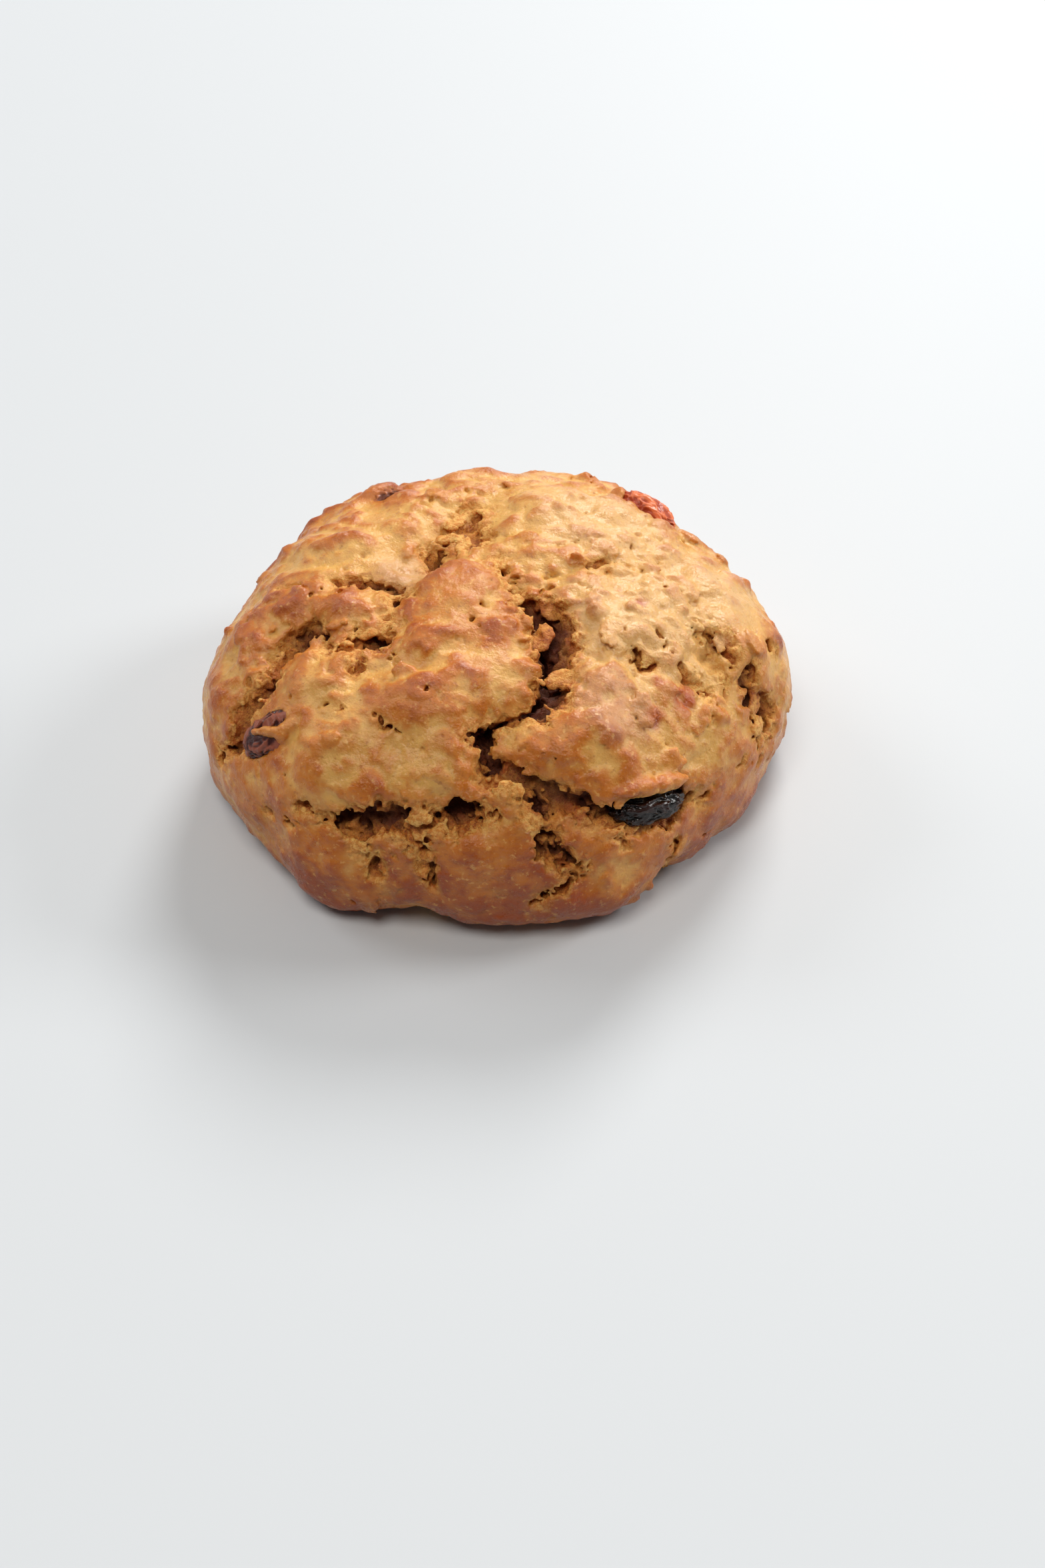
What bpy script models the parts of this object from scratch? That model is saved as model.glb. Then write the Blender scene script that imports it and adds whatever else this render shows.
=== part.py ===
"""Oatmeal raisin cookie: a thick, lumpy mound of baked dough, split by open cracks, with raisins in its crust.

The dough is one closed solid: a rounded mound with a wavy outline, a flat foot that it was baked on,
low swells, and cracks carved inwards along hand-laid routes. Each raisin that shows is a solid of its own,
set in a pocket cut from the dough.

Frame: metres, +Z up. The origin lies under the middle of the cookie, on the surface it stands on.
+X runs along its length. Sizes below are in millimetres and are scaled to metres on the way out.
"""
import math

import bmesh
import bpy
import numpy as np
from mathutils import Matrix, Vector, noise

METRES = 0.001

# Driving dimensions, in millimetres
LENGTH = 90.0            # along X, of the plain ellipse under the waves
DEPTH = 84.0             # along Y
HEIGHT = 37.0
WAIST_HEIGHT = 10.0      # level at which the mound is widest
FOOT_DROP = 14.5         # how far the lower curve would reach below the waist
CROWN_POWER = 2.5        # roundness of the upper curve
FOOT_POWER = 3.0         # roundness of the lower curve
WAVES = ((2, 0.020, 45), (3, 0.012, -13), (4, 0.010, 22), (5, 0.016, -6), (6, 0.017, 0))
BOX_MIDDLE = (0.9, -0.2)   # where the middle of the cookie's box lies, from the mound's upright axis
GRID = 59                # cells across the sheet of dough
FINE_SWELL = 0.7         # height of the irregular swells
FINE_SWELL_SIZE = 11.0   # their spacing
FOOT_STEP = 0.35         # least rise of each ring of corners above the one outside it, near the foot
CRACK_BLEND = 0.30       # how far crack walls are softened
POCKET_GAP = 0.35        # air between a raisin and its pocket
RAISIN_FOLDS = 5         # creases round a raisin
RAISIN_FOLD_DEPTH = 0.13   # their depth, as a share of its radius

# Swells and dips on the crust: (x, y, radius, rise)
SWELLS = (
    (-3, -17, 11, 1.3),
    (-4, -1, 6, 1.1),
    (17, -7, 12, 0.9),
    (14, -29, 8, 1.3),
    (-24, 7, 9, 0.8),
    (-22, -27, 9, 0.9),
    (-2, 28, 6, 1.5),
    (8, 14, 9, 0.8),
    (30, 12, 9, 0.5),
    (-6, 9, 5.5, -3.6),
    (38, -4, 5, 0.8),
)

# Bulges and folds low on the side: (azimuth in degrees, height, width, rise)
FOOT_BULGES = (
    (235, 4, 5, 2.2),
    (272, 4, 7, 0.6),
    (288, 4, 6, 0.4),
    (254, 3, 6, -1.2),
    (311, 4, 3, -2.6),
    (345, 6, 8, -0.7),
    (218, 6, 8, -1.5),
    (330, 6, 6, 0.8),
)

# Cracks. Each has a depth and a route of points: over the top (x, y, half width),
# round the side (azimuth in degrees, height, half width).
TOP_CRACKS = (
    (10.0, ((0.5, 3, 1.0), (1.5, -2, 1.3), (4, -5, 1.7), (7, -9, 3.0), (9.5, -14, 3.3), (10.5, -19, 2.7),
            (10, -23, 2.2), (7, -26, 2.1))),
    (7.0, ((7, -26, 1.6), (3.5, -27.5, 1.3), (0, -29.5, 2.2), (0.5, -33, 2.7), (5, -35.5, 2.2), (10, -36.5, 1.9))),
    (3.0, ((2, -2, 1.2), (6, -0.5, 1.2), (10, 0, 1.2), (14, 1, 1.3), (17, 3, 1.3))),
    (6.0, ((-10.5, 2, 1.6), (-10, 6, 1.9), (-10, 10, 1.9), (-8.5, 14, 1.6))),
    (4.0, ((-12, -4.5, 1.3), (-15, -4.5, 1.8), (-17, -1.5, 1.3), (-21, -1, 1.3))),
    (5.0, ((-33, -12.5, 1.8), (-31.5, -10, 1.9), (-28.5, -9, 1.7), (-26, -9.5, 1.3))),
    (5.0, ((-19.5, -10.5, 1.5), (-17, -13, 2.1), (-19.5, -16.5, 1.5))),
)
SIDE_CRACKS = (
    (5.0, ((206, 30, 1.4), (205, 27.5, 1.9), (207, 25, 2.1), (210.5, 22, 1.9), (208, 19, 1.4), (204, 16, 1.3))),
    (5.0, ((346, 26, 1.4), (343, 23, 1.7), (344, 20, 2.3), (342, 17, 2.1), (338, 14.5, 1.3))),
    (6.0, ((270, 25, 1.8), (264, 23.5, 1.8), (258, 22, 1.7), (252, 21.5, 1.6), (245, 21, 1.6), (239, 20, 1.4),
           (231, 20, 1.3))),
    (4.0, ((243, 20, 1.6), (244, 16.5, 1.5), (247, 12, 1.3))),
    (3.5, ((256.5, 19, 1.4), (257, 12, 1.3))),
    (4.5, ((280.5, 21.5, 1.4), (282, 19, 1.8), (286, 14.5, 1.4), (281, 10, 1.3))),
    (5.0, ((284, 24, 2.0), (292, 23, 1.9), (300, 21, 2.4), (308, 19.5, 2.8), (315, 19.5, 2.0))),
    (2.5, ((309, 15, 1.3), (310, 8, 1.6), (311, 2, 1.8))),
)

# Raisins: name, azimuth in degrees, height, turn from level in degrees, half sizes,
# how far the middle sits above the crust, and a number that sets its folds
RAISINS = (
    ("raisin_front", 306.5, 20.0, -18, (6.4, 3.4, 3.1), -2.4, 11),
    ("raisin_left", 215.5, 26.2, 60, (5.8, 3.4, 3.0), -1.9, 23),
    ("raisin_back_right", 42, 30.2, 4, (5.4, 3.0, 2.8), -1.0, 37),
    ("raisin_back_left", 123, 31.6, 5, (4.2, 3.0, 2.7), -1.4, 41),
)

# Materials: base colour and roughness
CRUST = ((0.55, 0.31, 0.12), 0.5)
RAISIN_DARK = ((0.035, 0.02, 0.018), 0.28)
RAISIN_PURPLE = ((0.10, 0.035, 0.03), 0.35)


def clear_scene():
    """Start from an empty scene."""
    for item in list(bpy.data.objects):
        bpy.data.objects.remove(item, do_unlink=True)


def outline_radius(azimuth):
    """Reach of the widest level from the upright axis, towards an azimuth in radians."""
    half_length = LENGTH / 2
    half_depth = DEPTH / 2
    ellipse = half_length * half_depth / math.hypot(half_depth * math.cos(azimuth), half_length * math.sin(azimuth))
    waves = sum(size * math.cos(count * (azimuth - math.radians(turn))) for count, size, turn in WAVES)
    return ellipse * (1 + waves)


def side_point(degrees, height):
    """Point on the plain mound at an azimuth and a height."""
    azimuth = math.radians(degrees)
    crown = HEIGHT - WAIST_HEIGHT
    rise = height - WAIST_HEIGHT
    if rise >= 0:
        share = (1 - (rise / crown) ** CROWN_POWER) ** (1 / CROWN_POWER)
    else:
        share = (1 - (-rise / FOOT_DROP) ** FOOT_POWER) ** (1 / FOOT_POWER)
    reach = outline_radius(azimuth) * share
    return Vector((reach * math.cos(azimuth), reach * math.sin(azimuth), height))


def top_point(x, y):
    """Point on the plain mound above (x, y)."""
    share = math.hypot(x, y) / outline_radius(math.atan2(y, x))
    crown = HEIGHT - WAIST_HEIGHT
    return Vector((x, y, WAIST_HEIGHT + crown * (1 - share ** CROWN_POWER) ** (1 / CROWN_POWER)))


def mound_point(azimuth, share):
    """Point on the plain mound: share 0 is the top, 1 the edge of the foot, with even steps between."""
    crown = HEIGHT - WAIST_HEIGHT
    reach = outline_radius(azimuth)
    turns = np.linspace(0, math.pi / 2, 60)
    drops = np.linspace(0, WAIST_HEIGHT, 16)[1:]
    upper_out = reach * np.sin(turns) ** (2 / CROWN_POWER)
    upper_rise = crown * np.clip(np.cos(turns), 0, 1) ** (2 / CROWN_POWER)
    lower_out = reach * (1 - (drops / FOOT_DROP) ** FOOT_POWER) ** (1 / FOOT_POWER)
    out = np.concatenate((upper_out, lower_out))
    rise = np.concatenate((upper_rise, -drops))
    run = np.concatenate(([0], np.cumsum(np.hypot(np.diff(out), np.diff(rise)))))
    wanted = share * run[-1]
    reach_here = np.interp(wanted, run, out)
    height_here = WAIST_HEIGHT + np.interp(wanted, run, rise)
    return Vector((reach_here * math.cos(azimuth), reach_here * math.sin(azimuth), height_here))


def crack_routes():
    """All cracks as (depth, points, half widths), on the plain mound."""
    routes = []
    for cracks, place in ((TOP_CRACKS, top_point), (SIDE_CRACKS, side_point)):
        for depth, points in cracks:
            route = np.array([place(first, second) for first, second, _ in points])
            widths = np.array([width for _, _, width in points])
            routes.append((depth, route, widths))
    return routes


def crack_depth(point, routes):
    """How deep the cracks cut at a point of the mound."""
    deepest = 0.0
    for depth, places, widths in routes:
        start = places[:-1]
        step = places[1:] - start
        along = np.clip(((point - start) * step).sum(1) / (step ** 2).sum(1), 0, 1)
        away = np.linalg.norm(start + along[:, None] * step - point, axis=1)
        width = widths[:-1] + along * (widths[1:] - widths[:-1])
        deepest = max(deepest, depth * max(0.0, 1 - (away / width).min()) ** 0.7)
    return deepest


def swell_height(point):
    """Rise of the lumps and dips at a point of the mound."""
    rise = FINE_SWELL * noise.noise(Vector(point) / FINE_SWELL_SIZE + Vector((3.1, 7.7, 1.9)))
    for x, y, radius, height in SWELLS:
        rise += height * math.exp(-((Vector(point) - top_point(x, y)).length / radius) ** 2)
    for degrees, level, width, height in FOOT_BULGES:
        rise += height * math.exp(-((Vector(point) - side_point(degrees, level)).length / width) ** 2)
    return rise


def disc_place(column, row):
    """Azimuth and share from the centre of a square grid's corner, laid out as a disc."""
    across = 2 * column / GRID - 1
    along = 2 * row / GRID - 1
    if across == 0 and along == 0:
        return 0.0, 0.0
    if abs(across) >= abs(along):
        turn = math.pi / 4 * along / across
        return turn + (math.pi if across < 0 else 0), abs(across)
    turn = math.pi / 2 - math.pi / 4 * across / along
    return turn + (math.pi if along < 0 else 0), abs(along)


def soften(depths):
    """Blend each depth with those beside it on the sheet, so that crack walls slope instead of stepping."""
    padded = np.pad(depths, 1, mode="edge")
    beside = padded[:-2, 1:-1] + padded[2:, 1:-1] + padded[1:-1, :-2] + padded[1:-1, 2:]
    return (1 - CRACK_BLEND) * depths + CRACK_BLEND * beside / 4


def dough_corners():
    """Corners of the dough's sheet, row by row, with their swells and cracks."""
    routes = crack_routes()
    core = Vector((0, 0, WAIST_HEIGHT))
    count = GRID + 1
    layout = [[disc_place(i, j) for j in range(count)] for i in range(count)]
    places = [[mound_point(azimuth, share) for azimuth, share in row] for row in layout]
    depths = soften(np.array([[crack_depth(np.array(place), routes) for place in row] for row in places]))
    corners = []
    for i in range(count):
        row = []
        for j in range(count):
            outward = (places[i][j] - core).normalized()
            corner = places[i][j] + outward * (swell_height(places[i][j]) - depths[i][j])
            ring = round((1 - layout[i][j][1]) * GRID / 2)
            corner.z = 0.0 if ring == 0 else max(corner.z, FOOT_STEP * ring)
            row.append(corner)
        corners.append(row)
    return corners


def build_dough(material):
    """The mound: a sheet of quads from the foot over the top, closed below by one flat face."""
    mesh = bmesh.new()
    corners = [[mesh.verts.new(corner) for corner in row] for row in dough_corners()]
    for i in range(GRID):
        for j in range(GRID):
            mesh.faces.new((corners[i][j], corners[i + 1][j], corners[i + 1][j + 1], corners[i][j + 1]))
    border = [corners[i][0] for i in range(GRID)] + [corners[GRID][j] for j in range(GRID)]
    border += [corners[i][GRID] for i in range(GRID, 0, -1)] + [corners[0][j] for j in range(GRID, 0, -1)]
    mesh.faces.new(reversed(border))
    return finish_object("cookie", mesh, material)


def raisin_matrix(degrees, height, turn, proud):
    """Place on the mound: local Z points out of the crust, and local X runs along it, turned from level."""
    here = side_point(degrees, height)
    around = (side_point(degrees + 1, height) - side_point(degrees - 1, height)).normalized()
    upward = (side_point(degrees, height + 0.5) - side_point(degrees, height - 0.5)).normalized()
    outward = around.cross(upward).normalized()
    basis = Matrix((around, outward.cross(around), outward)).transposed().to_4x4()
    return Matrix.Translation(here + outward * proud) @ basis @ Matrix.Rotation(math.radians(turn), 4, "Z")


def raisin_mesh(half_sizes, seed, swelling):
    """A shrunken, folded berry: a flattened ball with creases along its length, swollen by a margin."""
    mesh = bmesh.new()
    bmesh.ops.create_icosphere(mesh, subdivisions=3, radius=1.0)
    for corner in mesh.verts:
        place = corner.co.normalized()
        angle = math.atan2(place.z, place.y)
        wander = 4 * noise.noise(Vector((place.x * 0.8, seed, 0.3)))
        folds = math.cos(RAISIN_FOLDS * angle + wander) * (1 - place.x ** 2)
        bumps = noise.noise(place * 1.6 + Vector((seed, 0, 0)))
        share = 1 + RAISIN_FOLD_DEPTH * (0.6 * folds + bumps)
        corner.co = Vector([c * (share * half + swelling) for c, half in zip(place, half_sizes)])
    return mesh


def build_raisin(name, degrees, height, turn, half_sizes, proud, seed, material, cookie):
    """A raisin and the pocket that it sits in."""
    place = raisin_matrix(degrees, height, turn, proud)
    mesh = raisin_mesh(half_sizes, seed, 0)
    mesh.transform(place)
    raisin = finish_object(name, mesh, material)
    mesh = raisin_mesh(half_sizes, seed, POCKET_GAP)
    mesh.transform(place)
    cutter = finish_object(name + "_pocket", mesh, material)
    cutter.hide_render = True
    cutter.display_type = "WIRE"
    cut = cookie.modifiers.new(name + "_pocket", "BOOLEAN")
    cut.operation = "DIFFERENCE"
    cut.solver = "EXACT"
    cut.object = cutter
    return raisin


def finish_object(name, mesh, material):
    """Turn a mesh in millimetres into a shaded object in metres."""
    mesh.transform(Matrix.Scale(METRES, 4) @ Matrix.Translation((-BOX_MIDDLE[0], -BOX_MIDDLE[1], 0)))
    mesh.normal_update()
    data = bpy.data.meshes.new(name)
    mesh.to_mesh(data)
    mesh.free()
    data.shade_smooth()
    data.set_sharp_from_angle(angle=math.radians(50))
    data.materials.append(material)
    item = bpy.data.objects.new(name, data)
    bpy.context.scene.collection.objects.link(item)
    return item


def paint(name, look):
    """A plain material of one colour."""
    colour, roughness = look
    material = bpy.data.materials.new(name)
    material.use_nodes = True
    shader = material.node_tree.nodes["Principled BSDF"]
    shader.inputs["Base Color"].default_value = (*colour, 1)
    shader.inputs["Roughness"].default_value = roughness
    shader.inputs["Metallic"].default_value = 0.0
    return material


def main():
    clear_scene()
    cookie = build_dough(paint("crust", CRUST))
    for name, degrees, height, turn, half_sizes, proud, seed in RAISINS:
        look = RAISIN_DARK if name == "raisin_front" else RAISIN_PURPLE
        build_raisin(name, degrees, height, turn, half_sizes, proud, seed, paint(name, look), cookie)


main()
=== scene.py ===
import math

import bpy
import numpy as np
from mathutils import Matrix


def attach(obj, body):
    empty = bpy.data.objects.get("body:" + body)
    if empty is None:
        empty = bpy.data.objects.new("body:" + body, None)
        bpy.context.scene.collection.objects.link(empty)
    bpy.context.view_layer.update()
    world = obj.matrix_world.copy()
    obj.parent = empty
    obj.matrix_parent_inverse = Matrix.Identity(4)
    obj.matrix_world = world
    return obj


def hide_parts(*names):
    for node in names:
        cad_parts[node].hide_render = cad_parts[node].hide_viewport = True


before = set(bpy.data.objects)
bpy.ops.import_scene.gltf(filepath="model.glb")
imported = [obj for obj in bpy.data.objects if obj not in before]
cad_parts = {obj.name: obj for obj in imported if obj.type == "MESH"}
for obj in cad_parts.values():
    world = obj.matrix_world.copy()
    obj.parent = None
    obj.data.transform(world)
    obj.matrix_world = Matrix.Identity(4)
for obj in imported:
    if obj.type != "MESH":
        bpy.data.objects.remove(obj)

# Looks of the oatmeal raisin cookie: torn, lumpy crust over paler crumb, oat flakes and wrinkled raisins.
#
# The dough is worked out as a solid field over a block of sample points, in millimetres: the same mound as the
# frame's, then lumps, cracks with crumbly walls, flakes and pores. Its surface becomes one closed mesh, and what
# the field knows of each point (how deep in a crack, how browned, how moist) becomes the paint of the crust, with
# painted shade deep in the cracks.

import openvdb
from mathutils import Matrix, Vector, noise

# Without a seed, noise.noise_vector takes its offsets from the clock and differs from run to run.
NOISE_SEED = 1
noise.seed_set(NOISE_SEED)

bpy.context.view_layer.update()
METRES = 0.001
MOST_TRIANGLES = 196000

# ---------------------------------------------------------------- sizes of the mound, in millimetres
LENGTH = 90.0
DEPTH = 84.0
HEIGHT = 37.0
WAIST_HEIGHT = 10.0
FOOT_DROP = 14.5
CROWN_POWER = 2.5
FOOT_POWER = 3.0
WAVES = ((2, 0.020, 45), (3, 0.012, -13), (4, 0.010, 22), (5, 0.016, -6), (6, 0.017, 0))
BOX_MIDDLE = (0.9, -0.2)
FINE_SWELL = 0.7
FINE_SWELL_SIZE = 11.0

# Swells and dips: (x, y, radius, rise) over the top, (azimuth, height, width, rise) round the side
SWELLS = (
    (-3, -17, 11, 1.3),
    (-4, -1, 6, 1.1),
    (17, -7, 12, 0.9),
    (14, -29, 8, 1.3),
    (-24, 7, 9, 0.8),
    (-22, -27, 9, 0.9),
    (-2, 28, 6, 1.5),
    (8, 14, 9, 0.8),
    (30, 12, 9, 0.5),
    (38, -4, 5, 0.8),
)
# Broad plates and sunken places of the crown: (x, y, half length, half width, turn, rise)
PLATES = (
    (-5, -10, 11, 8, 100, 0.7),
    (-4, -2.0, 5, 3.2, 0, 1.0),
    (-7, 9, 7, 4, 80, -2.6),
    (-13.5, 4, 3, 6, 0, -1.5),
    (-22, 14, 9, 7, 45, 0.7),
    (10, 17, 14, 8, 10, 0.5),
    (-2, 24, 8, 4, 0, -0.6),
    (21, -9, 11, 8, 0, 0.4),
    (-12, -26, 13, 5, 5, 0.9),
    (-24, -5, 6, 3, -15, 0.8),
    (17, -24, 8, 5, -10, 0.7),
    (-30, -2, 5, 4, 0, 0.4),
)
FOOT_BULGES = (
    (235, 4, 5, 2.2),
    (272, 4, 7, 0.6),
    (288, 4, 6, 0.4),
    (254, 3, 6, -1.2),
    (311, 4, 3, -2.6),
    (345, 6, 8, -0.7),
    (218, 6, 8, -1.5),
    (330, 6, 6, 0.8),
)

# Cracks: (depth, undercut, route). Route points are (x, y, half width) over the top
# and (azimuth, height, half width) round the side.
TOP_CRACKS = (
    # the middle fissure: a broad torn trough, and the deep slot along its left wall
    (5.5, 0.15, ((3.5, -4.5, 0.8), (6.5, -8, 2.2), (8.8, -12, 2.8), (9.6, -17, 2.4), (9.5, -22, 1.8), (7, -26, 1.2))),
    (11.0, 0.25, ((5, -6.5, 0.6), (7, -9, 1.2), (8.5, -13, 1.1), (9.8, -18, 1.2), (9.8, -22.5, 1.4), (6.8, -26.3, 1.1))),
    (3.5, 0.0, ((0.5, 3, 0.7), (1.0, 0, 0.9), (2.0, -2.5, 0.7), (3.5, -5, 0.5))),
    # on to the front: two holes and the step between them
    (6.0, 0.2, ((6.5, -26.5, 1.0), (4.5, -27.3, 0.5), (2.5, -28, 0.45), (0.5, -29.3, 0.9), (-1.2, -30, 1.3))),
    (8.5, 0.3, ((-0.8, -29.8, 1.5), (0.2, -32, 1.2), (1.4, -34.2, 1.6))),
    (4.0, 0.3, ((1.2, -34.3, 2.0), (5, -35.3, 1.7), (8.5, -36.2, 1.6), (12, -37, 1.4))),
    # to the right: one thin branch
    (2.6, 0.1, ((2.2, -2.2, 0.5), (6, -0.6, 0.35), (10, 0, 0.35), (13.5, 0.8, 0.55), (15.5, 2.2, 0.6), (17.2, 3, 0.7))),
    (1.0, 0.0, ((17, 3, 0.5), (20, 3.6, 0.3), (23, 3.2, 0.25))),
    # the pocket behind the middle lump
    (6.5, 0.2, ((-10.6, 2.4, 1.2), (-9.8, 5, 1.8), (-9.4, 8.5, 1.7), (-8.6, 12, 1.1))),
    (3.4, 0.0, ((-8.6, 5, 2.0), (-6.5, 9, 3.8), (-4.5, 13, 3.0), (-3, 16.5, 1.7))),
    (5.0, 0.2, ((-5.2, 7.6, 0.8), (-5.0, 8.6, 0.8))),
    (4.0, 0.2, ((-6.4, 11.6, 0.7), (-6.0, 12.4, 0.6))),
    # left of the middle lump
    (4.5, 0.2, ((-13.2, -4.2, 0.8), (-15, -4.6, 1.3), (-16.4, -2.8, 0.7), (-17.6, -0.8, 0.5))),
    (3.0, 0.1, ((-17.5, -0.8, 0.5), (-20.5, -0.8, 0.9), (-22.8, -0.2, 0.6), (-24.3, 0.8, 0.5))),
    (1.2, 0.0, ((-24.3, 0.8, 0.35), (-26, -1.9, 0.3), (-28.2, -0.6, 0.3), (-29, 1.2, 0.3), (-31.5, 1.6, 0.5))),
    (1.8, 0.0, ((-15, -5, 0.7), (-15.3, -7.5, 0.5), (-15.0, -10, 0.7), (-16, -12.4, 0.9))),
    (5.0, 0.3, ((-18.8, -10.8, 0.7), (-17.2, -12.2, 1.3), (-16.6, -13.8, 1.2))),
    (3.4, 0.2, ((-20.6, -11.4, 0.8), (-19.4, -13.4, 1.0), (-19.6, -16.4, 1.1), (-19.4, -18.2, 0.7))),
    # the hollow on the left, and the tear that runs from it
    (6.0, 0.35, ((-33.2, -13, 0.9), (-32.2, -11, 1.4), (-30.6, -9.5, 1.8), (-28.4, -8.9, 1.6), (-26.4, -9.4, 1.0))),
    (2.2, 0.3, ((-26.2, -11.9, 0.4), (-24.6, -13.2, 0.7), (-22.6, -13.8, 0.6), (-20.6, -14.6, 0.5))),
    # small splits on the front plate
    (1.6, 0.1, ((-15.0, -26.2, 0.35), (-14.3, -27.3, 0.6), (-12.9, -28.4, 0.3), (-11.6, -28.6, 0.35))),
    (1.4, 0.1, ((-24.6, -22.4, 0.3), (-22.8, -22.6, 0.4), (-20.8, -23.8, 0.5), (-19.8, -24.4, 0.25))),
    # dents and splits on the right
    (1.8, 0.1, ((20.2, -14.4, 0.4), (21.6, -15.0, 0.8), (23.6, -15.2, 0.5))),
    (2.0, 0.1, ((29.2, -14.6, 0.6), (30.2, -16.2, 0.8), (32.2, -16.6, 0.5))),
    (1.8, 0.1, ((31, -6.8, 0.5), (33.4, -7.8, 0.9), (35.6, -8.8, 0.6))),
    (1.6, 0.0, ((33.6, -11.6, 0.5), (34.4, -13.6, 0.8), (35.6, -16.0, 0.35))),
    (1.4, 0.0, ((40.6, -3.4, 0.4), (42.2, -3.4, 0.7))),
    (1.0, 0.0, ((25.5, -0.6, 0.3), (28.5, -0.9, 0.35), (31, -2.4, 0.3), (32.6, -4.6, 0.3))),
)
SIDE_CRACKS = (
    # the sunken crumbly band along the front tear
    (1.7, 0.0, ((266, 23.2, 1.3), (260, 22.4, 1.8), (254, 21.6, 1.4), (248, 21.6, 1.8), (242, 20.2, 1.7),
                (236, 19.4, 1.2), (229, 20.6, 0.7))),
    # round the left raisin
    (4.5, 0.2, ((205.5, 30.5, 0.6), (203.5, 28.6, 1.2), (204, 26.5, 1.4), (206, 24.2, 1.5), (208.5, 22, 1.4))),
    (3.5, 0.2, ((212.5, 22.3, 0.8), (210, 20.4, 0.9), (206.5, 18.6, 0.8), (203, 16.6, 0.7), (204, 14.2, 0.5))),
    # down the right side
    (4.5, 0.2, ((347, 26, 0.6), (344, 25.3, 1.0), (342.8, 22.6, 1.3), (344.2, 20.2, 2.2), (343.4, 17.4, 1.8))),
    (2.6, 0.2, ((341, 19.4, 0.5), (340, 17.6, 0.7), (338.6, 14.8, 0.6), (337, 12.6, 0.3))),
    # the long front tear under the overhanging crust, in uneven bites
    (6.5, 0.4, ((266.5, 23.9, 1.0), (264.5, 23.6, 1.5), (261.5, 23.1, 1.8), (258.5, 22.2, 1.1), (256, 22.2, 0.8))),
    (5.5, 0.4, ((256, 22.2, 0.8), (253.2, 21.6, 1.1), (250.8, 22.2, 1.6), (249.2, 23.0, 0.9))),
    (5.0, 0.4, ((250.5, 21.6, 1.4), (247.2, 20.9, 1.2), (244.2, 20.9, 1.6), (241.4, 20.3, 1.2), (238, 19.9, 1.1))),
    (4.5, 0.4, ((238, 19.9, 1.0), (235.6, 19.4, 1.0), (233.2, 19.9, 0.6))),
    (3.2, 0.4, ((232.4, 20.3, 0.5), (230.4, 20.9, 0.7), (228.2, 21.4, 0.4))),
    (4.0, 0.3, ((221.6, 16.6, 0.5), (221.4, 15.4, 0.8), (222.6, 14.2, 0.4))),
    (2.0, 0.1, ((226.6, 17.6, 0.3), (228.4, 16.8, 0.45), (229.8, 15.6, 0.3))),
    # splits that run down from it
    (5.5, 0.2, ((242.8, 20.2, 1.2), (242.6, 18.4, 1.4), (243.8, 16.8, 0.9), (244.8, 15.4, 0.7), (245.6, 14.3, 0.9),
                (246.4, 13.2, 1.1), (247.6, 11.9, 0.6))),
    (4.0, 0.1, ((255.6, 18.8, 0.9), (256.8, 17.6, 0.75), (256.4, 16.4, 0.9), (256.8, 14.6, 0.8), (257, 13, 0.75),
                (257.2, 11.2, 0.4))),
    (3.0, 0.1, ((270.4, 24.2, 0.6), (270.6, 22.2, 0.6), (271.8, 20.2, 0.35))),
    (6.0, 0.2, ((280.4, 25, 0.9), (279.8, 23, 1.3), (280.4, 21.4, 1.1))),
    (5.0, 0.2, ((280.6, 20.8, 1.1), (281.6, 19, 1.6), (283.4, 17.4, 1.2), (285.2, 15.8, 0.7), (286.4, 14.4, 0.8))),
    (3.0, 0.1, ((286.2, 15, 0.5), (285.2, 13.2, 0.8), (283.4, 11.4, 0.6), (280.6, 9.8, 0.7), (277.6, 8.4, 0.35))),
    (2.6, 0.1, ((295.4, 19.2, 0.4), (296.6, 17.4, 0.7), (297.8, 16.0, 0.35))),
    (2.8, 0.1, ((308.4, 16.2, 0.5), (309.4, 13.8, 0.5), (309.8, 10, 0.5), (310.4, 5, 0.8), (311, 1, 0.9))),
    (1.6, 0.1, ((330, 17.2, 0.3), (331.2, 15.8, 0.6), (331.4, 14.4, 0.3))),
    # the sunken strip that holds the front raisin
    (4.2, 0.5, ((281, 25, 1.2), (285, 24.3, 1.6), (290, 23.2, 1.5), (295, 22.0, 1.2), (299, 21.4, 1.5))),
    (3.6, 0.3, ((296.5, 21.6, 1.2), (301, 20.9, 2.2), (307, 19.6, 2.6), (312.5, 18.6, 2.2), (317, 17.6, 1.0))),
    (6.0, 0.4, ((290.2, 22.2, 0.8), (291.8, 21.8, 0.8))),
    (2.6, 0.2, ((317.6, 16.4, 0.4), (319.4, 15.2, 0.7), (320.6, 15.6, 0.3))),
)

# Raisins: frame node, colour, azimuth, height, turn, half sizes, rise of the middle above the crust, fold seed
RAISINS = (
    ("raisin_front", "dark", 306.5, 20.1, -18, (6.4, 2.8, 3.1), -2.8, 11),
    ("raisin_left", "purple", 215.5, 26.2, 60, (5.8, 3.4, 3.0), -2.0, 23),
    ("raisin_back_right", "red", 43, 30.4, 4, (5.6, 3.0, 2.8), -0.4, 37),
    ("raisin_back_left", "brown", 123, 31.6, 5, (4.2, 3.0, 2.7), -2.3, 41),
)

VOXEL = 0.32
BLOCK = ((-49.0, -46.0, -1.6), (50.0, 46.0, 41.5))


# ---------------------------------------------------------------- the plain mound
def outline_radius(azimuth):
    """Reach of the widest level towards an azimuth in radians."""
    ellipse = 0.5 * LENGTH * DEPTH / np.hypot(DEPTH * np.cos(azimuth), LENGTH * np.sin(azimuth))
    waves = sum(size * np.cos(count * (azimuth - math.radians(turn))) for count, size, turn in WAVES)
    return ellipse * (1 + waves)


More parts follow.
